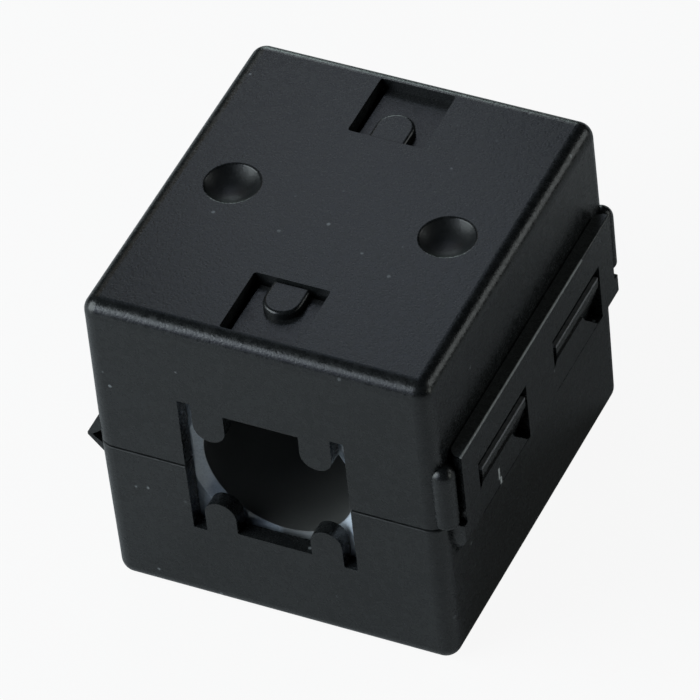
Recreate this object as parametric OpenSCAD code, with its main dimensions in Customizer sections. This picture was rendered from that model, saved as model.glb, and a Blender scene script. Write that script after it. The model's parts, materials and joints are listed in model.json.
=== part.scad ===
// Clip-on split ferrite core for a round cable: a hinged case that latches shut around two ferrite halves.
// Millimetres. X runs across the cable, Y along it and Z up. The hinge is on -X and the latch on +X.
// The origin is the middle of the closed case's bottom face.

/* [Case] */
// Width of the closed case at its parting line, without latch and hinge
case_w = 30; // [27:0.1:40]
// Length of the case along the cable
case_l = 33.1; // [30:0.1:45]
// Height of the base half, from the bottom face to its rim
base_h = 14.75; // [13.5:0.05:20]
// Height of the lid half, from its rim to the top face
lid_h = 15.08; // [13.5:0.01:20]
// Gap between the two rims when the case is shut
rim_gap = 0.2; // [0.1:0.05:0.4]
// Draft of the outer walls, in degrees
draft = 0.5; // [0.2:0.1:1]
// Rounding of the outer edges of the top and bottom faces
edge_r = 1.35; // [0.8:0.05:1.8]
// Small chamfer round the outside of each rim
rim_c = 0.06; // [0.05:0.01:0.2]
// Thickness of the side walls
side_wall = 1.35; // [1.1:0.05:1.8]
// Thickness of the two end walls that carry the cable fingers
end_wall = 1.4; // [1.1:0.05:1.8]
// Thickness of the top and bottom plates
plate_t = 1.7; // [1.4:0.05:2]
// Rounding of the corners of the pocket that holds a core
pocket_r = 0.6; // [0.3:0.1:1.2]

/* [Ferrite cores] */
// Radius of the cable bore
bore_r = 6.5; // [5:0.1:8]
// Height of the bore's axis above the base's rim
bore_up = 0.18; // [0.1:0.01:0.22]
// Width of the chamfer at each end of the bore
mouth_w = 1.2; // [0.6:0.1:1.6]
// Depth of the chamfer along the bore
mouth_d = 0.55; // [0.3:0.05:1.5]
// Clearance between a core and the side walls
core_side_gap = 0.25; // [0.2:0.05:0.5]
// Clearance between a core and the end walls
core_end_gap = 0.2; // [0.15:0.05:0.4]
// Gap between the two polished faces where the cores meet
pole_gap = 0.04; // [0.02:0.01:0.1]
// Rounding of the long outer edges of a core
core_edge_r = 0.9; // [0.4:0.1:1.5]
// Width of the ribs that centre a core between the side walls
rib_w = 1.2; // [0.8:0.1:2]
// Clearance left between a rib and the core
rib_gap = 0.05; // [0.02:0.01:0.1]
// Distance of the ribs from the middle of the case
rib_y = 9; // [6:0.5:12]

/* [Cable mouths] */
// Distance of the mouth's outer slots beyond the bore radius
slot_side = 0.65; // [0.4:0.05:1.2]
// How far the outer slots of the lid reach beyond the bore's radius
lid_slot = 0.57; // [0.4:0.01:1.5]
// How far the middle gap of the lid reaches beyond the bore's radius
lid_gate = 0.07; // [-0.3:0.01:0.3]
// How far the outer slots of the base reach beyond the bore's radius
base_slot = 0.33; // [0.2:0.01:1.5]
// How far the middle gap of the base reaches beyond the bore's radius
base_gate = -0.17; // [-0.5:0.01:0.1]
// Width of a cable finger
finger_w = 2.74; // [2:0.02:3]
// Distance of a finger's centre line from the middle of the mouth
finger_x = 4.6; // [4.2:0.05:4.8]
// How far the rounded finger tips stand into the bore
finger_reach = 1.19; // [0.6:0.01:1.6]

/* [Spring tongues] */
// Width of the window round a spring tongue
win_w = 6.56; // [5:0.02:8]
// Length of the window
win_l = 6.48; // [5:0.02:8]
// Distance of the window's outer edge inside the end wall
win_land = 0.05; // [0.02:0.01:1]
// Rounding of the window's corners
win_r = 0.25; // [0.1:0.05:0.6]
// Slit at each side of the tongue
tongue_side = 0.53; // [0.3:0.01:0.8]
// Slit at the free end of the tongue
tongue_end = 0.26; // [0.2:0.01:0.8]
// Depth of the tongue's face below the plate's outer face
tongue_drop = 1; // [0.6:0.05:1.2]
// Width of the raised pad at the tongue's free end
pad_w = 3.24; // [2:0.02:4]
// Length of the pad
pad_l = 3.15; // [2.6:0.05:4]
// Depth of the pad's top below the plate's outer face
pad_drop = 0.25; // [0.1:0.05:0.5]
// Rounding of the pad's upper edge
pad_edge = 0.3; // [0.1:0.05:0.4]

/* [Dimples] */
// Width of a dished dimple
dimple_w = 4.6; // [3:0.1:6]
// Depth of a dimple
dimple_d = 1; // [0.6:0.05:1.2]
// Distance of a dimple's centre from the side of the case
dimple_in = 5.73; // [4.5:0.01:7]
// Rounding of a dimple's rim
dimple_rim = 0.2; // [0.1:0.05:0.3]

/* [Latch] */
// Thickness of the latch strap
strap_t = 1.17; // [0.9:0.01:1.6]
// Clearance between the strap and the lid's wall
strap_gap = 0.03; // [0.03:0.01:0.2]
// Distance of the strap's ends from the ends of the case
strap_in = 2.1; // [2.05:0.05:3.05]
// Distance of the ends of the strap's wider root from the ends of the case
root_in = 1.5; // [1.45:0.05:1.95]
// Height of the strap's top above the lid's rim
strap_up = 6.85; // [6:0.05:9]
// Depth of the root's shoulder below the base's rim
root_down = 1.7; // [1.5:0.05:3]
// Depth of the foot of the root's slope below the base's rim
root_foot = 3.85; // [3.5:0.05:6]
// Rounding of the strap's top edges
strap_edge = 0.15; // [0.05:0.05:0.3]
// Rounding of the strap's inner end corners
strap_end_r = 0.95; // [0.3:0.05:1]
// Rounding of the root's ends
root_r = 2; // [0.4:0.1:2.1]
// Distance of a strap window's inner end from the middle
latch_in = 2.6; // [2:0.1:4]
// Width of the strap beyond the outer end of a window
latch_edge = 2.65; // [2:0.05:3.5]
// Depth of the strap windows below the base's rim
latch_down = 1.72; // [1.4:0.02:2]
// Height of the strap windows above the lid's rim
latch_up = 3.65; // [3.3:0.05:4.5]
// Clearance between a catch and the ends of its window
catch_gap = 0.45; // [0.3:0.05:0.8]
// Height of a catch's flat top above the lid's rim
catch_up = 2.5; // [2:0.05:3]
// Height of the upright nose of a catch
catch_nose = 0.9; // [0.5:0.05:1.2]
// How far a catch's nose stays behind the strap's outer face
catch_back = 0.1; // [0:0.05:0.4]
// How far a catch's foot hangs below the lid's rim
catch_down = 1.35; // [0.8:0.05:1.5]
// How much shorter a catch is at each end of its foot than at its nose
catch_taper = 1; // [0:0.1:1.5]
// How far both catches sit nearer the rear ends of their windows
catch_shift = 0.3; // [0:0.05:0.3]
// Clearance between a catch's foot and the base's wall
catch_clear = 0.15; // [0.1:0.05:0.3]
// Thickness of a catch at its foot
catch_toe = 0.1; // [0.1:0.05:0.4]

/* [Guard beads] */
// Radius of the guard beads beside the ends of the strap
bead_r = 1; // [0.7:0.05:1.2]
// Depth of a bead's axis behind the side of the case
bead_in = 0.05; // [0:0.05:0.4]
// Distance of a bead's outer face behind the end of the case
bead_end = 0.12; // [0.1:0.01:0.3]
// Height of a bead's flat foot above the lid's rim
bead_foot = 0.18; // [0.1:0.02:0.6]
// Height of the centre of a bead's domed top above the lid's rim
bead_up = 5.35; // [4:0.05:7]
// Rounding of a bead's lower edge
bead_edge = 0.3; // [0.1:0.05:0.5]

/* [Living hinge] */
// Distance of the hinge web's ends from the ends of the case
web_in = 1.05; // [0.9:0.05:4]
// How far the web's fold stands out from the side wall
web_out = 1.26; // [1:0.02:2]
// Height of the web's upper root above the lid's rim
web_up = 2.05; // [1.4:0.05:3]
// Depth of the web's lower root below the base's rim
web_down = 1.75; // [1.6:0.05:3]
// Height of the web's flat nose
web_nose = 0.25; // [0.1:0.05:0.5]
// Height of the web's nose centre below the bore's axis
web_low = 0.38; // [0:0.02:0.4]
// Height of the hollow's upper corner above the lid's rim
hollow_up = 0.3; // [0.1:0.05:0.8]
// Depth of the hollow's lower corner below the base's rim
hollow_down = 0.9; // [0.8:0.05:1.3]
// Thickness of the web at its nose
web_skin = 0.38; // [0.25:0.01:0.6]

/* [Hidden] */
$fn = 96;
eps = 0.01;
lid_z = base_h + rim_gap;
bore_z = base_h + bore_up;
case_h = lid_z + lid_h;
pocket_x = case_w / 2 - side_wall;
pocket_y = case_l / 2 - end_wall;
core_x = pocket_x - core_side_gap;
core_y = pocket_y - core_end_gap;
finger_r = finger_w / 2;
finger_z = sqrt(pow(bore_r - finger_reach + finger_r, 2) - pow(finger_x, 2));
tongue_w = win_w - 2 * tongue_side;
win_strip = end_wall + win_land;
win_y = case_l / 2 - win_strip - win_l;
dish_r = (pow(dimple_w / 2, 2) + pow(dimple_d, 2)) / (2 * dimple_d);
dish_x = sqrt(pow(dish_r + dimple_rim, 2) - pow(dish_r - dimple_d + dimple_rim, 2));
strap_x = case_w / 2 + strap_gap;
strap_l = case_l - 2 * strap_in;
root_l = case_l - 2 * root_in;
latch_out = strap_l / 2 - latch_edge;
root_sunk = 0.3;
bead_x = case_w / 2 - bead_in;
bead_y = case_l / 2 - bead_end - bead_r;
CASE = [0.17, 0.18, 0.19];
CASE_SOFT = [0.22, 0.23, 0.24];
FERRITE = [0.3, 0.32, 0.36];

// Radius of a half's upright corners at the rim, to the nearest micrometre so that the swept pieces meet
function corner_r(h) = round(1000 * ((h - edge_r) * tan(draft) + edge_r / cos(draft))) / 1000;

// Section of a half's border outside the corner axes: rim along y = 0, drafted wall, rounded outer edge
module border_section(h) {
    ay = h - edge_r;
    foot = corner_r(h);
    side = [edge_r * cos(draft), ay + edge_r * sin(draft)];
    intersection() {
        union() {
            polygon([[0, 0], [foot - rim_c, 0], [foot - rim_c * tan(draft), rim_c], side, [0, ay]]);
            translate([0, ay]) circle(r = edge_r);
        }
        square([foot + 1, h + 1]);
    }
}

// Outside of one half as a solid, rim at z = 0 and outer face at z = h: a slab with a border swept round it
module half_solid(h) {
    ax = case_w / 2 - corner_r(h);
    ay = case_l / 2 - corner_r(h);
    translate([-ax, -ay, 0]) cube([2 * ax, 2 * ay, h]);
    for (s = [0, 180])
        rotate([0, 0, s]) {
            translate([ax, 0, 0])
                rotate([90, 0, 0]) linear_extrude(height = 2 * ay, center = true) border_section(h);
            translate([0, ay, 0])
                rotate([90, 0, 90]) linear_extrude(height = 2 * ax, center = true) border_section(h);
            translate([ax, ay, 0]) rotate_extrude(angle = 90) border_section(h);
            translate([-ax, ay, 0]) rotate([0, 0, 90]) rotate_extrude(angle = 90) border_section(h);
        }
}

// Pocket for a core, open at the rim, with its centring ribs left standing
module pocket(h) {
    difference() {
        translate([0, 0, -1])
            linear_extrude(height = h - plate_t + 1)
                union() {
                    square([2 * (pocket_x - pocket_r), 2 * pocket_y], center = true);
                    square([2 * pocket_x, 2 * (pocket_y - pocket_r)], center = true);
                    for (sx = [-1, 1], sy = [-1, 1])
                        translate([sx * (pocket_x - pocket_r), sy * (pocket_y - pocket_r)])
                            circle(r = pocket_r);
                }
        for (sx = [-1, 1], sy = [-1, 1])
            translate([sx * (pocket_x - (core_side_gap - rib_gap) / 2), sy * rib_y, h / 2])
                cube([core_side_gap - rib_gap, rib_w, h + 4], center = true);
    }
}

// Half of a mouth, with the bore's axis at y = 0: outer slots, middle gap, and two fingers left standing
module mouth_section(slot, gate) {
    mouth_x = bore_r + slot_side;
    inner_x = finger_x - finger_r;
    difference() {
        translate([-mouth_x, -1]) square([2 * mouth_x, slot + 1]);
        for (s = [-1, 1]) {
            translate([s * finger_x, finger_z]) circle(r = finger_r);
            translate([s * finger_x - finger_r, finger_z]) square([finger_w, slot]);
        }
        translate([-inner_x - eps, gate]) square([2 * (inner_x + eps), slot]);
    }
}

// Window through a plate at one end of the case
module tongue_window(h) {
    x = win_w / 2 - win_r;
    y = win_l / 2 - win_r;
    translate([0, win_y + win_l / 2, h - plate_t - 1])
        linear_extrude(height = plate_t + 2)
            union() {
                square([win_w, 2 * y], center = true);
                square([2 * x, win_l], center = true);
                for (sx = [-1, 1], sy = [-1, 1])
                    translate([sx * x, sy * y]) circle(r = win_r);
            }
}

// Section of the pad with its upper edges rounded, standing on y = 0
module pad_section(tall) {
    x = pad_w / 2 - pad_edge;
    polygon([[-pad_w / 2, 0], [pad_w / 2, 0], [pad_w / 2, tall - pad_edge], [x, tall - pad_edge], [x, tall],
             [-x, tall], [-x, tall - pad_edge], [-pad_w / 2, tall - pad_edge]]);
    for (s = [-1, 1])
        translate([s * x, tall - pad_edge]) circle(r = pad_edge);
}

// Spring tongue that presses on the core, with its raised pad
module tongue(h) {
    tip = win_y + tongue_end;
    root = case_l / 2 - win_strip + win_r;
    tall = tongue_drop - pad_drop + eps;
    bend = tip + pad_l - pad_w / 2;
    translate([-tongue_w / 2, tip, h - plate_t]) cube([tongue_w, root - tip, plate_t - tongue_drop]);
    translate([0, 0, h - tongue_drop - eps]) {
        translate([0, bend, 0])
            rotate([90, 0, 0]) linear_extrude(height = bend - tip) pad_section(tall);
        translate([0, bend, 0])
            rotate_extrude()
                intersection() {
                    pad_section(tall);
                    square([pad_w, tall + 1]);
                }
    }
}

// Dished dimple with a rounded rim, sunk from z = h
module dimple(h) {
    c = dish_r - dimple_d;
    translate([0, 0, h])
        rotate_extrude()
            intersection() {
                union() {
                    translate([0, c]) circle(r = dish_r);
                    difference() {
                        polygon([[0, c], [dish_x, -dimple_rim], [dish_x, c]]);
                        translate([dish_x, -dimple_rim]) circle(r = dimple_rim);
                    }
                }
                translate([0, -dimple_d - 1]) square([dish_x + 1, c + dimple_d + 1]);
            }
}

// One half of the case: shell, mouths, windows with tongues, and dimples; axis is the bore's height above the rim
module half_case(h, axis, slot, gate) {
    difference() {
        half_solid(h);
        pocket(h);
        for (s = [0, 1])
            mirror([0, s, 0]) {
                translate([0, case_l / 2 + 1, axis])
                    rotate([90, 0, 0]) linear_extrude(height = end_wall + 1 + eps) mouth_section(slot, gate);
                tongue_window(h);
            }
        for (s = [-1, 1])
            translate([s * (case_w / 2 - dimple_in), 0, 0]) dimple(h);
    }
    for (s = [0, 1])
        mirror([0, s, 0]) tongue(h);
}

// Base half of the moulded case
module case_base() {
    color(CASE)
        translate([0, 0, base_h]) mirror([0, 0, 1]) half_case(base_h, -bore_up, bore_r + base_slot, bore_r + base_gate);
}

// Wedge that the strap's window hooks over
module catch_wedge() {
    wall = case_w / 2;
    nose = strap_x + strap_t - catch_back;
    foot = wall + catch_clear;
    inner = latch_in + catch_gap;
    outer = latch_out - catch_gap;
    neck = catch_up - catch_nose;
    intersection() {
        translate([0, outer, lid_z])
            rotate([90, 0, 0])
                linear_extrude(height = outer - inner)
                    polygon([[wall - side_wall / 2, catch_up], [nose, catch_up], [nose, neck],
                             [foot + catch_toe, -catch_down], [foot, -catch_down], [foot, 0],
                             [wall - side_wall / 2, 0]]);
        translate([0, 0, lid_z])
            rotate([90, 0, 90])
                linear_extrude(height = case_w)
                    polygon([[inner, catch_up], [inner, neck], [inner + catch_taper, -catch_down],
                             [outer - catch_taper, -catch_down], [outer, neck], [outer, catch_up]]);
    }
}

// Half-round bead that guards one end of the strap
module guard_bead() {
    translate([bead_x, bead_y, lid_z])
        rotate_extrude()
            intersection() {
                union() {
                    polygon([[0, bead_foot], [bead_r - bead_edge, bead_foot],
                             [bead_r - bead_edge, bead_foot + bead_edge], [bead_r, bead_foot + bead_edge],
                             [bead_r, bead_up], [0, bead_up]]);
                    translate([bead_r - bead_edge, bead_foot + bead_edge]) circle(r = bead_edge);
                    translate([0, bead_up]) circle(r = bead_r);
                }
                square([bead_r + 1, lid_h]);
            }
}

// Lid half of the moulded case, with its catches and guard beads
module case_lid() {
    color(CASE) {
        translate([0, 0, lid_z]) half_case(lid_h, bore_up - rim_gap, bore_r + lid_slot, bore_r + lid_gate);
        for (s = [0, 1]) {
            translate([0, catch_shift, 0]) mirror([0, s, 0]) catch_wedge();
            mirror([0, s, 0]) guard_bead();
        }
    }
}

// Outline of the latch strap along the case, with its wider root
module strap_outline() {
    top = lid_z + strap_up;
    foot = base_h - root_foot;
    difference() {
        union() {
            translate([-strap_l / 2, foot]) square([strap_l, top - foot]);
            translate([-root_l / 2, foot + root_r]) square([root_l, base_h - foot - root_r]);
            translate([-root_l / 2 + root_r, foot]) square([root_l - 2 * root_r, root_r + 1]);
            for (s = [-1, 1])
                translate([s * (root_l / 2 - root_r), foot + root_r]) circle(r = root_r);
        }
        for (s = [-1, 1])
            translate([s * (latch_in + latch_out) / 2, (base_h - latch_down + lid_z + latch_up) / 2])
                square([latch_out - latch_in, latch_up + latch_down + rim_gap], center = true);
    }
}

// Section of the latch strap: sloped root on the base's wall, upright strap clear of the lid's wall
module strap_section() {
    wall = case_w / 2;
    foot = base_h - root_foot;
    top = lid_z + strap_up;
    out = strap_x + strap_t;
    polygon([[wall - root_foot * tan(draft), foot], [out, base_h - root_down], [out, top - strap_edge],
             [out - strap_edge, top - strap_edge], [out - strap_edge, top], [strap_x, top], [strap_x, base_h],
             [wall - rim_c, base_h], [wall - rim_c * tan(draft), base_h - rim_c]]);
    translate([out - strap_edge, top - strap_edge]) circle(r = strap_edge);
}

// Latch strap, moulded onto the base; it bends out when the catches pass
module latch_strap() {
    color(CASE_SOFT)
        difference() {
            intersection() {
                rotate([90, 0, 0]) linear_extrude(height = root_l + 2, center = true) strap_section();
                rotate([90, 0, 90]) linear_extrude(height = case_w) strap_outline();
            }
            for (s = [-1, 1])
                translate([strap_x, s * strap_l / 2, base_h])
                    linear_extrude(height = lid_z + strap_up)
                        difference() {
                            square(2 * strap_end_r, center = true);
                            translate([strap_end_r, -s * strap_end_r]) circle(r = strap_end_r);
                        }
        }
}

// Living hinge web on the side away from the latch, folded to a hollow wedge when shut
module hinge_web() {
    wall = case_w / 2;
    nose_z = bore_z - web_low;
    color(CASE_SOFT)
        difference() {
            mirror([1, 0, 0])
                rotate([90, 0, 0])
                    linear_extrude(height = case_l - 2 * web_in, center = true)
                        difference() {
                            polygon([[wall - root_sunk, lid_z + web_up],
                                     [wall, lid_z + web_up],
                                     [wall + web_out, nose_z + web_nose / 2],
                                     [wall + web_out, nose_z - web_nose / 2],
                                     [wall, base_h - web_down],
                                     [wall - root_sunk, base_h - web_down]]);
                            polygon([[wall, lid_z + hollow_up],
                                     [wall + web_out - web_skin, nose_z],
                                     [wall, base_h - hollow_down],
                                     [wall - 1, base_h - hollow_down],
                                     [wall - 1, lid_z + hollow_up]]);
                        }
            translate([0, 0, base_h]) mirror([0, 0, 1]) half_solid(base_h);
            translate([0, 0, lid_z]) half_solid(lid_h);
        }
}

// Section of one core half: polished face along y = 0, outer face with rounded edges at y = h
module core_section(h) {
    ax = core_x - core_edge_r;
    ay = h - core_edge_r;
    polygon([[-core_x, 0], [core_x, 0], [core_x, ay], [ax, ay], [ax, h], [-ax, h], [-ax, ay], [-core_x, ay]]);
    for (s = [-1, 1])
        translate([s * ax, ay]) circle(r = core_edge_r);
}

// One ferrite half with its half of the bore and the chamfered mouths; its polished face is at z = 0
module core_half(h) {
    wide = bore_r + mouth_w;
    difference() {
        rotate([90, 0, 0]) linear_extrude(height = 2 * core_y, center = true) core_section(h);
        translate([0, 0, -pole_gap / 2])
            rotate([90, 0, 0])
                rotate_extrude()
                    polygon([[0, -core_y - 1], [wide, -core_y - 1], [wide, -core_y], [bore_r, mouth_d - core_y],
                             [bore_r, core_y - mouth_d], [wide, core_y], [wide, core_y + 1], [0, core_y + 1]]);
    }
}

// Ferrite half that lies in the base
module core_base() {
    h = bore_z - pole_gap / 2 - plate_t;
    color(FERRITE)
        translate([0, 0, bore_z - pole_gap / 2]) mirror([0, 0, 1]) core_half(h);
}

// Ferrite half that is held in the lid
module core_lid() {
    h = case_h - plate_t - bore_z - pole_gap / 2;
    color(FERRITE)
        translate([0, 0, bore_z + pole_gap / 2]) core_half(h);
}

case_base();
case_lid();
latch_strap();
hinge_web();
core_base();
core_lid();
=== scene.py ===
"""Looks of a clip-on split ferrite core: moulded nylon case, ferrite halves, folded hinge web, studio.

Sizes are in millimetres unless a comment says otherwise; meshes and lamps are placed in metres.
"""

import json
import logging
import math
from dataclasses import dataclass, field
from enum import Enum
from typing import Any, Optional, Union

import bpy
import numpy as np
from mathutils import Matrix, Vector

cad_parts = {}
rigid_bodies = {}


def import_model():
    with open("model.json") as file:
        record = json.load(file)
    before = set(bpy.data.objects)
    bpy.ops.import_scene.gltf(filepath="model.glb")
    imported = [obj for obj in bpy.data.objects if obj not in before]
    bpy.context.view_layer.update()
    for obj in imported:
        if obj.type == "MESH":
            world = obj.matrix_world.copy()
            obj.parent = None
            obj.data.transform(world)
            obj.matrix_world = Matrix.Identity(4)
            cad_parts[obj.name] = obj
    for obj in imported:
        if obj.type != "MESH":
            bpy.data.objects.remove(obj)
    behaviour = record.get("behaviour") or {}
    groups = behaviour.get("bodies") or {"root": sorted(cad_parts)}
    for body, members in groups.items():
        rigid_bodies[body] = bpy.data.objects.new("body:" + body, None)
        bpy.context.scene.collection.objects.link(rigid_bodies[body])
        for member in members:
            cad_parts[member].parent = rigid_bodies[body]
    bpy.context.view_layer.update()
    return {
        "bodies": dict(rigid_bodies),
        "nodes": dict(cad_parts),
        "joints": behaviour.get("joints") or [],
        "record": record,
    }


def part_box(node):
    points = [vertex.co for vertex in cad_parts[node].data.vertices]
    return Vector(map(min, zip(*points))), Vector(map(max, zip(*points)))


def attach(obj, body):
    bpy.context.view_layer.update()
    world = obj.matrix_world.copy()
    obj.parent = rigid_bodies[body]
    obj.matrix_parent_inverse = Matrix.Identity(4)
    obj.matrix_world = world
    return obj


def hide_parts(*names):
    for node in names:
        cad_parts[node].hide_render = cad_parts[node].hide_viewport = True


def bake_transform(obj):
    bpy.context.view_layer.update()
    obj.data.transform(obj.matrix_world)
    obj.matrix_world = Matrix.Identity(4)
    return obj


LOG = logging.getLogger("ferrite_core")
MM = 0.001
FAR = 900.0

Colour = tuple[float, float, float]
Span = tuple[float, float]
Shares = tuple[float, float, float]
Socket = bpy.types.NodeSocket
Owner = Union[bpy.types.Material, bpy.types.World]
Stretch = tuple[float, Span, Span]

WHITE: Colour = (1.0, 1.0, 1.0)


class Body(Enum):
    """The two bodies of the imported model."""

    BASE = "base"
    LID = "lid"


class Slot(Enum):
    """A material slot name; nothing in the script uses it."""

    NYLON = "black_nylon"


@dataclass(frozen=True)
class CaseSizes:
    """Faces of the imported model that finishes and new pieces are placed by."""

    # Outer face of the side walls, from the middle.
    wall: float
    # Height of the base's rim, of the lid's roof and of the foot of the lid's catches.
    rim: float
    roof: float
    catch_foot: float
    # Outer face and top of the latch strap.
    strap_face: float
    strap_top: float
    # End faces of the ferrite halves, from the middle.
    core_end: float

    @classmethod
    def read(cls) -> "CaseSizes":
        """Reads the sizes.

        Returns:
            The sizes, each from the box of its CAD node, rounded to a hundredth.
        """
        names = ("case_base", "case_lid", "latch_strap", "core_base")
        low, high = ({name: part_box(name)[corner] / MM for name in names} for corner in (0, 1))
        sizes = {
            "wall": high["case_base"].x, "rim": high["case_base"].z, "roof": high["case_lid"].z,
            "catch_foot": low["case_lid"].z, "strap_face": high["latch_strap"].x,
            "strap_top": high["latch_strap"].z, "core_end": high["core_base"].y}
        return cls(**{name: round(size, 2) for name, size in sizes.items()})


class Val:
    """A number in a shader: wraps a socket, and each operator adds one Math node."""

    def __init__(self, graph: "Graph", socket: Socket) -> None:
        """Keeps the graph and the socket that carries the number."""
        self.graph = graph
        self.socket = socket

    def _op(self, operation: str, *values: Union["Val", float]) -> "Val":
        """Adds one Math node.

        Args:
            operation: The Math node's operation.
            *values: Its inputs, in order.

        Returns:
            The node's result.
        """
        node = self.graph.node("ShaderNodeMath", {"operation": operation}, dict(enumerate(values)))
        return Val(self.graph, node.outputs[0])

    def __add__(self, other: Union["Val", float]) -> "Val":
        """Sum."""
        return self._op("ADD", self, other)

    def __radd__(self, other: float) -> "Val":
        """Sum, reflected."""
        return self._op("ADD", other, self)

    def __sub__(self, other: Union["Val", float]) -> "Val":
        """Difference."""
        return self._op("SUBTRACT", self, other)

    def __rsub__(self, other: float) -> "Val":
        """Difference, reflected."""
        return self._op("SUBTRACT", other, self)

    def __mul__(self, other: Union["Val", float]) -> "Val":
        """Product."""
        return self._op("MULTIPLY", self, other)

    def __rmul__(self, other: float) -> "Val":
        """Product, reflected."""
        return self._op("MULTIPLY", other, self)

    def __truediv__(self, other: Union["Val", float]) -> "Val":
        """Quotient."""
        return self._op("DIVIDE", self, other)

    def __abs__(self) -> "Val":
        """Absolute value."""
        return self._op("ABSOLUTE", self)

    def at_most(self, other: Union["Val", float]) -> "Val":
        """The smaller of the two."""
        return self._op("MINIMUM", self, other)

    def at_least(self, other: Union["Val", float]) -> "Val":
        """The larger of the two."""
        return self._op("MAXIMUM", self, other)

    def step(self, low: float, high: float) -> "Val":
        """Smooth step.

        Args:
            low: Where the result is 0.
            high: Where the result is 1; it may lie below low.

        Returns:
            The share t, clipped to 0 to 1, as t * t * (3 - 2 * t).
        """
        share = ((self - low) / (high - low)).at_least(0.0).at_most(1.0)
        return share * share * (3.0 - 2.0 * share)


class Graph:
    """The nodes of one material, or of the world."""

    def __init__(self, owner: Owner) -> None:
        """Empties the owner's nodes.

        Args:
            owner: The material or world whose nodes are made.
        """
        owner.use_nodes = True
        self.owner = owner
        self.tree = owner.node_tree
        self.tree.nodes.clear()

    def node(self, kind: str, settings: Optional[dict[str, Any]] = None,
             inputs: Optional[dict[Any, Any]] = None) -> bpy.types.Node:
        """Adds any node.

        Args:
            kind: The node's type name.
            settings: Its properties, set first.
            inputs: Values or sockets for its inputs, by name or number.

        Returns:
            The node.
        """
        made = self.tree.nodes.new(kind)
        for key, value in (settings or {}).items():
            setattr(made, key, value)
        for key, value in (inputs or {}).items():
            if isinstance(value, Val):
                value = value.socket
            if isinstance(value, bpy.types.NodeSocket):
                self.tree.links.new(value, made.inputs[key])
            else:
                made.inputs[key].default_value = value
        return made

    def place(self) -> Socket:
        """The shaded point in the row frame, in metres."""
        return self.node("ShaderNodeTexCoord").outputs["Object"]

    def axes(self, vector: Socket) -> tuple[Val, Val, Val]:
        """The three parts of a vector in metres, as numbers in millimetres."""
        split = self.node("ShaderNodeSeparateXYZ", inputs={0: vector})
        return tuple(Val(self, split.outputs[i]) * (1.0 / MM) for i in range(3))

    def noise(self, size: float, detail: float = 2.0, rough: float = 0.5, seed: float = 0.0) -> Val:
        """Smooth noise in the row frame.

        Args:
            size: Size of its blotches, in millimetres.
            detail: Its octaves.
            rough: Share that each octave keeps.
            seed: Shifts the pattern, in millimetres.

        Returns:
            The noise, about 0.5 in the mean.
        """
        mapping = self.node("ShaderNodeMapping", inputs={
            "Vector": self.place(), "Location": (seed * MM, seed * MM, 0.0)})
        made = self.node("ShaderNodeTexNoise", {"noise_dimensions": "3D"}, {
            "Vector": mapping.outputs[0], "Scale": 1.0 / (size * MM), "Detail": detail, "Roughness": rough})
        return Val(self, made.outputs[0])

    def cells(self, size: float, seed: float = 0.0) -> Val:
        """Distance to the nearest of scattered points, in cell sizes.

        Args:
            size: Mean distance of the points, in millimetres.
            seed: Shifts the pattern, in millimetres.

        Returns:
            The distance.
        """
        mapping = self.node("ShaderNodeMapping", inputs={
            "Vector": self.place(), "Location": (seed * MM, 0.0, seed * MM)})
        made = self.node("ShaderNodeTexVoronoi", {"feature": "F1"}, {
            "Vector": mapping.outputs[0], "Scale": 1.0 / (size * MM), "Randomness": 1.0})
        return Val(self, made.outputs["Distance"])

    def mix(self, factor: Union[Val, float], a: Union[Socket, Colour], b: Union[Socket, Colour]) -> Socket:
        """Mixes two colours.

        Args:
            factor: Share of b.
            a: Colour at 0.
            b: Colour at 1.

        Returns:
            The mixed colour.
        """
        pair = {key: (*value, 1.0) if isinstance(value, tuple) else value for key, value in ((6, a), (7, b))}
        return self.node("ShaderNodeMix", {"data_type": "RGBA"}, {0: factor, **pair}).outputs[2]

    def bump(self, height: Val, depth: float) -> Socket:
        """Normal of a raised grain.

        Args:
            height: Its height, as a share of the depth.
            depth: Height of a share of 1, in metres.

        Returns:
            The normal.
        """
        made = self.node("ShaderNodeBump", inputs={"Strength": 1.0, "Distance": depth, "Height": height})
        return made.outputs[0]

    def shown_to_camera(self, share: float, lit: Socket, shown: Socket) -> Socket:
        """Shows the camera another shader than the one that light meets.

        Args:
            share: How much of the shown one the camera sees.
            lit: Shader for every other ray.
            shown: Shader for the camera.

        Returns:
            The mixed shader.
        """
        path = self.node("ShaderNodeLightPath")
        seen = Val(self, path.outputs["Is Camera Ray"]) * share
        return self.node("ShaderNodeMixShader", inputs={0: seen, 1: lit, 2: shown}).outputs[0]

    def finish(self, shader: Socket, kind: str = "ShaderNodeOutputMaterial") -> Owner:
        """Links the surface to the output node and returns the owner."""
        self.node(kind, inputs={"Surface": shader})
        return self.owner


def weighted(parts: tuple[Val, Val, Val], shares: Shares, middle: float,
             means: Shares = (0.5, 0.5, 0.5)) -> Val:
    """Weighs three patterns together.

    Args:
        parts: The patterns.
        shares: Weight of each.
        middle: Result where every pattern is at its mean.
        means: Mean of each.

    Returns:
        The middle, plus each pattern's distance from its mean times its weight.
    """
    total: Union[Val, float] = middle
    for part, share, mean in zip(parts, shares, means):
        total = total + (part - mean) * share
    return total


def new_graph(name: str) -> Graph:
    """Makes an empty material.

    Args:
        name: The material's name.

    Returns:
        Its graph.
    """
    return Graph(bpy.data.materials.new(name))


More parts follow.
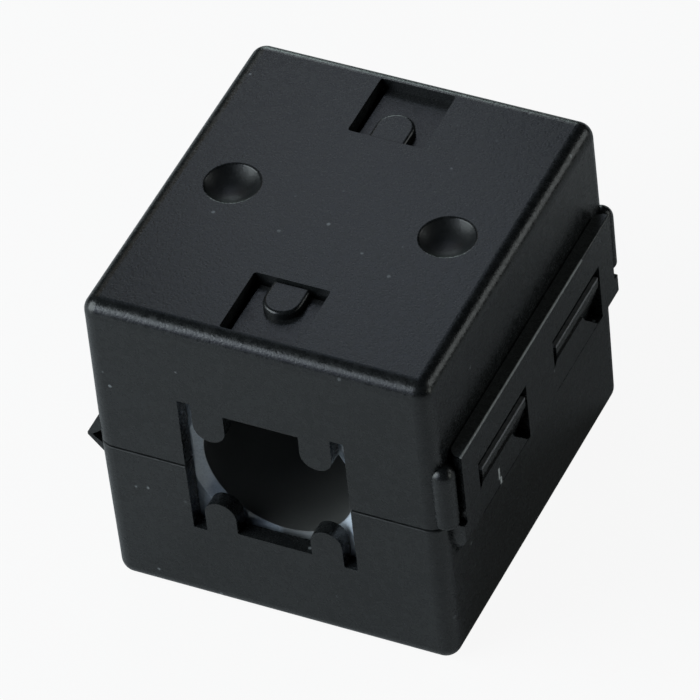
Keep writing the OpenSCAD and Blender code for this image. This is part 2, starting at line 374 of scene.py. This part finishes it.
@dataclass(frozen=True)
class Zone:
    """A box of the row frame where the nylon looks different."""

    # Its corners; a side at FAR is open.
    low: tuple[float, float, float]
    high: tuple[float, float, float]
    # Its colour, how much of it shows, the roughness that it adds, and how far its sides fade.
    colour: Colour
    share: float
    roughness: float = 0.0
    soft: float = 0.06

    def mask(self, g: Graph) -> Val:
        """Share of the zone at a point.

        Args:
            g: The material's graph.

        Returns:
            1 inside the box, 0 outside, with soft sides.
        """
        inside: Optional[Val] = None
        for value, low, high in zip(g.axes(g.place()), self.low, self.high):
            for edge, way in ((low, -self.soft), (high, self.soft)):
                if abs(edge) < FAR:
                    side = value.step(edge + way, edge)
                    inside = side if inside is None else inside * side
        return inside


@dataclass(frozen=True)
class NylonFinish:
    """Black moulded nylon with a fine matt grain and a little dust; its zones add painted light, painted
    shade and a white scuff.
    """

    name: str
    zones: tuple[Zone, ...] = ()
    deep: Colour = (0.0085, 0.0095, 0.0100)
    pale: Colour = (0.0170, 0.0185, 0.0190)
    dust: Colour = (0.30, 0.32, 0.33)
    roughness: float = 0.27
    cloud_size: float = 5.0
    mottle_size: float = 0.7
    grain_size: float = 0.16
    pit_size: float = 0.33
    # Shares of cloud, mottle and grain in the colour and in the roughness, and of mottle, grain and pits in
    # the height.
    in_colour: Shares = (0.5, 1.1, 0.9)
    in_roughness: Shares = (0.08, 0.30, 0.22)
    in_height: Shares = (0.5, 0.6, 0.25)
    # Height of a full share, in metres.
    grain_height: float = 0.000020
    # Least share of each zone (painted light, painted shade and the scuff alike), and how much the mottle
    # adds to it.
    wear_and_light: Span = (0.7, 0.6)
    # Specks of dust: mean distance, where they start and are full in cell sizes, ragged rim, strength, and
    # the cloud shares between which they settle.
    speck_gap: float = 2.3
    speck_rim: Span = (0.085, 0.045)
    speck_ragged: float = 0.06
    speck_strength: float = 0.6
    speck_clouds: Span = (0.46, 0.62)
    specular: float = 0.5
    ior: float = 1.5

    def make(self) -> bpy.types.Material:
        """Builds the material.

        Returns:
            Nylon whose colour mottles at three scales, with grain in its bump and roughness.
        """
        g = new_graph(self.name)
        cloud = g.noise(self.cloud_size)
        mottle = g.noise(self.mottle_size, detail=3.0, rough=0.6, seed=3.0)
        grain = g.noise(self.grain_size, rough=0.6, seed=7.0)
        pits = g.cells(self.pit_size, seed=11.0).step(0.0, 0.5)
        noises = (cloud, mottle, grain)
        base = g.mix(weighted(noises, self.in_colour, 0.5).step(0.0, 1.0), self.deep, self.pale)
        rough = weighted(noises, self.in_roughness, self.roughness)
        # Each zone mixes its colour in: painted light on catches and strap, painted shade on rim and dimples,
        # and the scuff.
        for zone in self.zones:
            mask = zone.mask(g)
            base = g.mix(mask * zone.share * (self.wear_and_light[0] + mottle * self.wear_and_light[1]), base, zone.colour)
            rough = rough + mask * zone.roughness
        ragged = g.cells(self.speck_gap, seed=21.0) + (grain - 0.5) * self.speck_ragged
        specks = ragged.step(*self.speck_rim)
        base = g.mix(specks * cloud.step(*self.speck_clouds) * self.speck_strength, base, self.dust)
        height = weighted((mottle, grain, pits), self.in_height, 0.0, means=(0.0, 0.0, 0.0))
        shader = g.node("ShaderNodeBsdfPrincipled", inputs={
            "Base Color": base, "Roughness": rough, "Normal": g.bump(height, self.grain_height),
            "Specular IOR Level": self.specular, "IOR": self.ior})
        return g.finish(shader.outputs[0])


@dataclass(frozen=True)
class FerriteFinish:
    """Sintered ferrite: dark grey and satin in the bore, paler blue-grey at its mouths, partly as painted
    light, with a painted shadow and a painted pool of light there.
    """

    # Distance of the end faces from the middle.
    end: float
    name: str = "ferrite_sintered"
    deep: Colour = (0.028, 0.029, 0.027)
    pale: Colour = (0.050, 0.051, 0.048)
    # Mouth colours, paler blue-grey, partly painted light; the third is a painted pool of light.
    lit_mouth: Colour = (0.290, 0.335, 0.390)
    lit_mouth_pale: Colour = (0.420, 0.480, 0.550)
    lit_patch_colour: Colour = (0.800, 0.880, 0.980)
    cloud_size: float = 4.0
    speck_size: float = 0.22
    grain_size: float = 0.12
    # Height of the grain, in metres.
    grain_height: float = 0.000006
    # Depth behind an end face at which the paler mouth, partly painted light, starts and is full.
    mouth: Span = (0.57, 0.49)
    # Painted shadow on the lower middle of each mouth: its left, right and upper side, each fading in.
    painted_shadow_left: Span = (-0.8, 0.0)
    painted_shadow_right: Span = (3.7, 3.0)
    painted_shadow_top: Span = (12.6, 11.8)
    painted_shadow_share: float = 0.85
    # Painted pool of light at the lower right of each mouth: its left side and its upper side.
    lit_patch_left: Span = (2.8, 4.0)
    lit_patch_top: Span = (13.8, 12.6)
    lit_patch_share: float = 0.8
    # Shares of cloud, grain and specks in the colour, their means, and the specks' share in the height.
    in_colour: Shares = (0.8, 0.7, 0.4)
    means: Shares = (0.5, 0.5, 0.4)
    speck_height: float = 0.5
    roughness: float = 0.24
    bore_rougher: float = 0.25
    grain_rougher: float = 0.15
    ior: float = 2.2

    def make(self) -> bpy.types.Material:
        """Builds the material.

        Returns:
            Ferrite with a crystalline speckle and soft cloudy tone, paler at both mouths, partly as painted
            light, with a painted shadow and a painted pool of light in each.
        """
        g = new_graph(self.name)
        cloud = g.noise(self.cloud_size, detail=3.0)
        speck = g.cells(self.speck_size)
        grain = g.noise(self.grain_size, seed=5.0)
        shade = weighted((cloud, grain, speck), self.in_colour, 0.5, self.means).step(0.0, 1.0)
        across, along, up = g.axes(g.place())
        # Painted shadow: the lower middle of each mouth keeps most of the bore's darker colour.
        painted_shadow = across.step(*self.painted_shadow_left) * across.step(*self.painted_shadow_right)
        painted_shadow = painted_shadow * up.step(*self.painted_shadow_top)
        ends = abs(along).step(*(self.end - depth for depth in self.mouth))
        mouth = ends * (1.0 - painted_shadow * self.painted_shadow_share)
        # Painted pool of light: a near-white patch at the lower right of each mouth.
        lit_patch = across.step(*self.lit_patch_left) * up.step(*self.lit_patch_top) * self.lit_patch_share
        lit_mouth = g.mix(lit_patch, g.mix(shade, self.lit_mouth, self.lit_mouth_pale), self.lit_patch_colour)
        rough = self.roughness + (1.0 - mouth) * self.bore_rougher + (grain - 0.5) * self.grain_rougher
        shader = g.node("ShaderNodeBsdfPrincipled", inputs={
            "Base Color": g.mix(mouth, g.mix(shade, self.deep, self.pale), lit_mouth),
            "Roughness": rough,
            "Normal": g.bump(grain + speck * self.speck_height, self.grain_height), "IOR": self.ior})
        return g.finish(shader.outputs[0])


@dataclass(frozen=True)
class FloorFinish:
    """Plain floor that stays nearly white to the camera and keeps a faint shadow."""

    name: str = "studio_floor"
    albedo: float = 0.8
    camera_share: float = 0.92

    def make(self) -> bpy.types.Material:
        """Builds the material.

        Returns:
            Lit matt white, mixed with plain white light for the camera alone.
        """
        g = new_graph(self.name)
        matt = g.node("ShaderNodeBsdfDiffuse", inputs={"Color": (self.albedo,) * 3 + (1.0,)})
        light = g.node("ShaderNodeEmission", inputs={"Color": (*WHITE, 1.0), "Strength": 1.0})
        return g.finish(g.shown_to_camera(self.camera_share, matt.outputs[0], light.outputs[0]))


def grid_mesh(name: str, points: np.ndarray, closed: bool) -> bpy.types.Object:
    """Makes a mesh of a grid of points.

    Args:
        name: The object's name.
        points: Points as (rows, columns, 3), in metres.
        closed: True joins the last column to the first and caps both end rows.

    Returns:
        The object, with its place in its mesh.
    """
    rows, columns = points.shape[:2]
    index = np.arange(rows * columns).reshape(rows, columns)
    ahead = np.roll(index, -1, axis=1) if closed else index[:, 1:]
    here = index if closed else index[:, :-1]
    quads = np.stack([here[:-1], ahead[:-1], ahead[1:], here[1:]], axis=-1).reshape(-1, 4)
    faces = quads.tolist()
    if closed:
        faces += [index[0][::-1].tolist(), index[-1].tolist()]
    mesh = bpy.data.meshes.new(name)
    mesh.from_pydata(points.reshape(-1, 3).tolist(), [], faces)
    mesh.update()
    made = bpy.data.objects.new(name, mesh)
    bpy.context.scene.collection.objects.link(made)
    return made


def dress(node: bpy.types.Object, material: bpy.types.Material) -> None:
    """Gives a mesh one material.

    Args:
        node: The mesh object.
        material: Its finish.
    """
    node.data.materials.clear()
    node.data.materials.append(material)


@dataclass(frozen=True)
class WearAndPaintedLight:
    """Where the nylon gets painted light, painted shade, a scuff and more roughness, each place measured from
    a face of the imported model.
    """

    case: CaseSizes
    # How far down the base's rim is rougher and painted darker, as painted shade over the parting line's
    # highlight.
    rim_down: float = 0.13
    # Catches: how far out from the wall their faces get painted light and their top lines a painted
    # highlight, half the length that they take up along the case, and the heights above the rim between which
    # faces and lines lie.
    catch_out: Span = (0.1, 0.8)
    catch_half: float = 12.2
    catch_up: tuple[float, float, float] = (0.85, 2.45, 3.25)
    # Dimples, painted darker as shade and made rougher: distance inside the side wall, half their room along
    # the case, and the depths below the roof.
    dimple_in: float = 2.2
    dimple_half: float = 3.0
    dimple_down: Span = (2.03, 0.13)
    # Strap: how far down its top ledge gets painted light and its outer edge a painted highlight, how thick a
    # skin the edge takes up, and where it ends along the case.
    ledge_down: float = 0.04
    edge_down: float = 0.14
    edge_in: float = 0.1
    edge_end: float = 9.0
    # The short white scuff across the front catch and the strap below it. Each stretch is its depth behind
    # the strap's outer face, its span along the case and its span in height.
    scuff_head: Stretch = (0.2, (-8.52, -8.30), (13.75, 14.85))
    scuff_middle: Stretch = (0.2, (-8.30, -8.05), (13.0, 13.75))
    scuff_foot: Stretch = (0.1, (-8.10, -7.84), (12.4, 13.1))
    scuff_white: Colour = (0.60, 0.62, 0.62)

    def scuff(self, stretch: Stretch) -> Zone:
        """One stretch of the scuff.

        Args:
            stretch: Its depth and spans.

        Returns:
            The zone.
        """
        depth, along, up = stretch
        outer = self.case.strap_face - depth
        return Zone((outer, along[0], up[0]), (FAR, along[1], up[1]), self.scuff_white, 1.0)

    def base(self) -> NylonFinish:
        """Nylon of the lower half.

        Returns:
            Nylon with a rougher rim, painted darker as shade along the parting line.
        """
        low = self.case.rim - self.rim_down
        # Painted shade: the rim's darker colour dulls the light along the parting line.
        rim = Zone((-FAR, -FAR, low), (FAR, FAR, FAR), (0.009, 0.010, 0.010), 0.7, 0.30)
        return NylonFinish("nylon_base", (rim,))

    def lid(self) -> NylonFinish:
        """Nylon of the upper half.

        Returns:
            Nylon with painted light on the catches' faces, a painted highlight on their top lines, and
            dimples that are rougher and painted darker as shade.
        """
        case, half = self.case, self.catch_half
        face, line = (case.wall + out for out in self.catch_out)
        low, middle, high = (case.rim + up for up in self.catch_up)
        # Painted light: the catches' shaded ramps are painted paler.
        faces = Zone((face, -half, low), (FAR, half, middle), (0.06, 0.06, 0.06), 0.4)
        # Painted highlight: a pale line along each catch's top edge.
        lines = Zone((line, -half, middle), (FAR, half, high), (0.24, 0.24, 0.25), 0.9)
        side, room = case.wall - self.dimple_in, self.dimple_half
        deep, shallow = (case.roof - down for down in self.dimple_down)
        # Painted shade: the dimples are painted darker, and rougher.
        dimples = Zone((-side, -room, deep), (side, room, shallow), (0.009, 0.010, 0.011), 0.6, 0.18)
        return NylonFinish("nylon_lid", (faces, lines, dimples))

    def strap(self) -> NylonFinish:
        """Nylon of the latch strap.

        Returns:
            Nylon with painted light on its top ledge, a painted highlight along its outer edge, and the lower
            end of the scuff.
        """
        case, outer = self.case, self.case.strap_face - self.edge_in
        low_ledge, low_edge = case.strap_top - self.ledge_down, case.strap_top - self.edge_down
        # Painted light: the ledge, shaded by the wall, is painted paler.
        ledge = Zone((case.wall, -FAR, low_ledge), (FAR, FAR, FAR), (0.085, 0.090, 0.090), 0.8)
        # Painted highlight: a pale line along the strap's outer top edge.
        edge = Zone((outer, -FAR, low_edge), (FAR, self.edge_end, FAR), (0.42, 0.44, 0.44), 0.8)
        return NylonFinish("nylon_strap", (ledge, edge, self.scuff(self.scuff_foot)))

    def catches(self) -> NylonFinish:
        """Nylon of the catches' flush faces, with the upper end and the middle of the scuff."""
        return NylonFinish("nylon_catch", (self.scuff(self.scuff_head), self.scuff(self.scuff_middle)))


@dataclass
class Moulding:
    """CAD nodes of the case that keep their shape, each with the nylon and its own zones of painted light,
    painted shade and scuff.
    """

    wear_and_light: WearAndPaintedLight

    def dress(self, frame: dict[str, Any]) -> None:
        """Puts the nylon on the nodes.
        """
        finishes = {
            "case_base": self.wear_and_light.base(), "case_lid": self.wear_and_light.lid(), "latch_strap": self.wear_and_light.strap()}
        for name, finish in finishes.items():
            dress(frame["nodes"][name], finish.make())
            LOG.info("dressed %s", name)


@dataclass
class Cores:
    """The two ferrite halves."""

    case: CaseSizes
    nodes: tuple[str, ...] = ("core_base", "core_lid")

    def dress(self, frame: dict[str, Any]) -> None:
        """Puts the ferrite finish on both halves.
        """
        ferrite = FerriteFinish(self.case.core_end).make()
        for name in self.nodes:
            dress(frame["nodes"][name], ferrite)
            LOG.info("dressed %s", name)


@dataclass
class HingeWeb:
    """The living hinge: a thin web folded to a hollow wedge. The real one bends as the lid opens; this piece
    keeps its shape.
    """

    case: CaseSizes
    node: str = "hinge_web"
    # How far the web's roots lie inside the case's wall.
    sunk: float = 0.15
    # Thickness of the upper and the lower arm at the wall, and of the web at its nose.
    arm_top: float = 1.75
    arm_low: float = 0.85
    skin: float = 0.38
    # Height of the blunt nose's middle above the lower root's edge, and its width.
    nose_up: float = 1.55
    nose_h: float = 0.25
    # Points along each of the four long runs, which start at these corners.
    stations: int = 28
    long_runs: tuple[int, ...] = (1, 3, 7, 8)
    finish: NylonFinish = field(default_factory=lambda: NylonFinish("nylon_web"))

    def section(self, nose_x: float, root_low: float, root_top: float) -> np.ndarray:
        """Section of the web.

        Args:
            nose_x: How far out its nose lies.
            root_low: Height of its lower root's edge.
            root_top: Height of its upper root's edge.

        Returns:
            A closed loop as (x, z): from the base out along the arms' outside, round the nose to the lid,
            then back along the inside. Each long run from corner a to corner b is sampled as
            a + t * (b - a) at evenly spaced t.
        """
        wall, nose_z, half = -self.case.wall, root_low + self.nose_up, self.nose_h / 2
        root, hollow_low, hollow_top = wall + self.sunk, root_low + self.arm_low, root_top - self.arm_top
        corners = np.array([
            [root, root_low], [wall, root_low], [nose_x, nose_z - half], [nose_x, nose_z + half],
            [wall, root_top], [root, root_top], [root, hollow_top], [wall, hollow_top],
            [nose_x + self.skin, nose_z], [wall, hollow_low], [root, hollow_low]])
        t = np.linspace(0.0, 1.0, self.stations)[:-1, None]
        runs = [corners[i] + t * (corners[i + 1] - corners[i]) if i in self.long_runs else corners[i:i + 1]
                for i in range(len(corners) - 1)]
        return np.concatenate(runs + [corners[-1:]])

    def build(self) -> bpy.types.Object:
        """Builds the web between base and lid.

        Returns:
            The web: its section, carried straight along the case from the CAD web's near end to its far end.
        """
        low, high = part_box(self.node)
        root_low, root_top = low.z / MM, high.z / MM
        loop = self.section(low.x / MM, root_low, root_top)
        y = np.array([low.y, high.y]) / MM
        points = np.empty((len(y), len(loop), 3))
        points[:, :, 0] = loop[None, :, 0]
        points[:, :, 1] = y[:, None]
        points[:, :, 2] = loop[None, :, 1]
        web = grid_mesh("hinge_web_folded", points * MM, closed=True)
        dress(web, self.finish.make())
        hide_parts(self.node)
        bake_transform(web)
        LOG.info("built %s", web.name)
        return web


@dataclass
class CatchFaces:
    """Flush faces of the lid's two catches, which fill the strap's windows down to their sills."""

    case: CaseSizes
    wear_and_light: WearAndPaintedLight
    # Each face's near and far side at the sill.
    spans: dict[str, Span] = field(default_factory=lambda: {
        "catch_face_front": (-11.77, -3.0), "catch_face_rear": (2.63, 10.9)})
    # How far behind the strap's outer face they lie, and how far below and above the base's rim they reach.
    behind: float = 0.03
    below: float = 1.7
    above: float = 1.35
    # How far the far side leans back up to its corner, and the corners' cuts.
    lean: float = 2.3
    far_cut: Span = (0.3, 0.6)
    near_cut: float = 0.5
    # How far out from the case's wall the catch's own ramp stands, at its foot and at the faces' top. It is
    # the wedges' back.
    ramp: Span = (0.25, 0.93)

    def outline(self, low: float, high: float) -> np.ndarray:
        """Outline of one face, with its far side leaning back.

        Args:
            low: Its near side at the sill, in millimetres.
            high: Its far side at the sill.

        Returns:
            Points as (y, z).
        """
        sill, top = self.case.rim - self.below, self.case.rim + self.above
        leant = high - self.lean
        along, down = self.far_cut
        return np.array([
            [low, sill], [high, sill], [leant, top - down], [leant - along, top],
            [low + self.near_cut, top], [low, top - self.near_cut]])

    def build(self) -> list[bpy.types.Object]:
        """Builds both wedges between the catch's ramp and the face.

        Returns:
            The two pieces, which ride on the lid. Each is its outline drawn twice: on the face's plane, and
            where the ramp lies at each point's height.
        """
        nylon = self.wear_and_light.catches().make()
        heights = (self.case.catch_foot, self.case.rim + self.above)
        reaches = tuple(self.case.wall + out for out in self.ramp)
        made = []
        for name, (low, high) in self.spans.items():
            flat = self.outline(low, high)
            points = np.empty((2, len(flat), 3))
            points[0, :, 0] = np.interp(flat[:, 1], heights, reaches)
            points[1, :, 0] = self.case.strap_face - self.behind
            points[:, :, 1:] = flat[None]
            wedge = grid_mesh(name, points * MM, closed=True)
            dress(wedge, nylon)
            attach(wedge, Body.LID.value)
            LOG.info("built %s", name)
            made.append(wedge)
        return made


def bearing(azimuth: float, elevation: float) -> Vector:
    """Direction from the object.

    Args:
        azimuth: Degrees round from the front, towards the right.
        elevation: Degrees up from level.

    Returns:
        A unit vector.
    """
    a, e = math.radians(azimuth), math.radians(elevation)
    return Vector((math.sin(a) * math.cos(e), -math.cos(a) * math.cos(e), math.sin(e)))


@dataclass(frozen=True)
class Lamp:
    """A soft round lamp: its direction in degrees, its distance and size in metres, its power in watts."""

    name: str
    azimuth: float
    elevation: float
    distance: float
    size: float
    power: float
    colour: Colour

    def hang(self, centre: Vector) -> None:
        """Hangs the lamp in its direction from a point and turns it to face that point.

        Args:
            centre: What it faces, in metres.
        """
        data = bpy.data.lights.new(f"lamp_{self.name}", "AREA")
        data.shape, data.size, data.energy, data.color = "DISK", self.size, self.power, self.colour
        hung = bpy.data.objects.new(f"lamp_{self.name}", data)
        way = bearing(self.azimuth, self.elevation)
        hung.location = centre + way * self.distance
        hung.rotation_mode = "QUATERNION"
        hung.rotation_quaternion = way.to_track_quat("Z", "Y")
        bpy.context.scene.collection.objects.link(hung)


@dataclass
class Studio:
    """Camera, floor, surround and soft lamps, placed in degrees and metres."""

    azimuth: float = 29.348
    elevation: float = 43.700
    roll: float = -6.711
    distance: float = 0.56354
    target: tuple[float, float, float] = (0.002928, -0.006136, 0.021351)
    # Focal length and film width, in millimetres, and the nearest and farthest depth seen.
    lens: float = 371.0
    film: float = 36.0
    clip: Span = (0.02, 20.0)
    # Half the floor's side, and its gap below the object, so that the two faces don't flicker.
    floor_reach: float = 3.0
    floor_gap: float = 0.02 * MM
    # Height of the point that the lamps face.
    lamps_aim: float = 15.0 * MM
    lamps: tuple[Lamp, ...] = (
        Lamp("front_left", -55.0, 25.0, 0.45, 0.40, 1.68, (0.92, 1.02, 1.05)),
        Lamp("front", -26.0, 38.0, 0.45, 0.20, 0.165, (0.90, 1.01, 1.17)),
        Lamp("front_low", -26.0, 19.0, 0.45, 0.20, 0.046, (0.90, 1.00, 1.40)),
        Lamp("rear_high", -152.0, 55.0, 0.45, 0.16, 0.022, (0.82, 1.02, 1.30)),
        Lamp("rear_middle", -152.0, 44.0, 0.45, 0.16, 0.0050, (0.94, 1.00, 1.14)),
        Lamp("rear_near", -152.0, 50.0, 0.108, 0.045, 0.0025, (0.92, 1.00, 1.15)),
        Lamp("rear", -152.0, 24.0, 0.45, 0.16, 0.071, (0.97, 0.99, 1.15)),
        Lamp("rear_low", -152.0, 15.0, 0.45, 0.16, 0.136, (0.83, 1.05, 0.99)),
        Lamp("rear_left", -135.0, 34.0, 0.45, 0.16, 0.012, (1.20, 0.98, 0.70)),
        Lamp("right", 132.0, 21.0, 0.45, 0.20, 0.165, (0.94, 1.00, 1.00)),
        Lamp("right_low", 100.0, 12.0, 0.45, 0.20, 0.150, (0.95, 1.02, 0.96)),
    )

    def camera(self) -> None:
        """Places the camera on a sphere round its target, turned by its roll."""
        back = bearing(self.azimuth, self.elevation)
        level = math.radians(self.azimuth)
        across = Vector((math.cos(level), math.sin(level), 0.0))
        up = back.cross(across)
        r = math.radians(self.roll)
        right = math.cos(r) * across + math.sin(r) * up
        above = math.cos(r) * up - math.sin(r) * across
        data = bpy.data.cameras.new("studio_camera")
        data.lens, data.sensor_width = self.lens, self.film
        data.clip_start, data.clip_end = self.clip
        made = bpy.data.objects.new("studio_camera", data)
        turn = Matrix((right, above, back)).transposed().to_4x4()
        made.matrix_world = Matrix.Translation(Vector(self.target) + back * self.distance) @ turn
        bpy.context.scene.collection.objects.link(made)
        bpy.context.scene.camera = made

    def floor(self) -> None:
        """Lays a flat floor under the object: one square, level at the floor's gap."""
        reach = np.array([-self.floor_reach, self.floor_reach])
        x, y = np.meshgrid(reach, reach)
        square = np.stack([x, y, np.full_like(x, -self.floor_gap)], axis=-1)
        sheet = grid_mesh("studio_floor", square, closed=False)
        dress(sheet, FloorFinish().make())

    def world(self) -> None:
        """Surrounds the scene with white for the camera and no light, so that the lamps alone light it."""
        g = Graph(bpy.data.worlds.new("studio_surround"))
        dark, white = (g.node("ShaderNodeBackground", inputs={0: (*WHITE, 1.0), 1: strength}).outputs[0]
                       for strength in (0.0, 1.0))
        bpy.context.scene.world = g.finish(g.shown_to_camera(1.0, dark, white), "ShaderNodeOutputWorld")

    def lights(self) -> None:
        """Hangs the lamps round the object."""
        for lamp in self.lamps:
            lamp.hang(Vector((0.0, 0.0, self.lamps_aim)))

    def build(self) -> None:
        """Sets up the studio."""
        self.camera()
        self.floor()
        self.world()
        self.lights()
        bpy.context.scene.view_settings.view_transform = "Standard"
        LOG.info("studio ready")


def main() -> None:
    """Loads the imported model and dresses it."""
    logging.basicConfig(level=logging.INFO, format="%(name)s: %(message)s")
    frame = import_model()
    case = CaseSizes.read()
    Studio().build()
    wear_and_light = WearAndPaintedLight(case)
    Moulding(wear_and_light).dress(frame)
    Cores(case).dress(frame)
    HingeWeb(case).build()
    CatchFaces(case, wear_and_light).build()


if __name__ == "__main__":
    main()
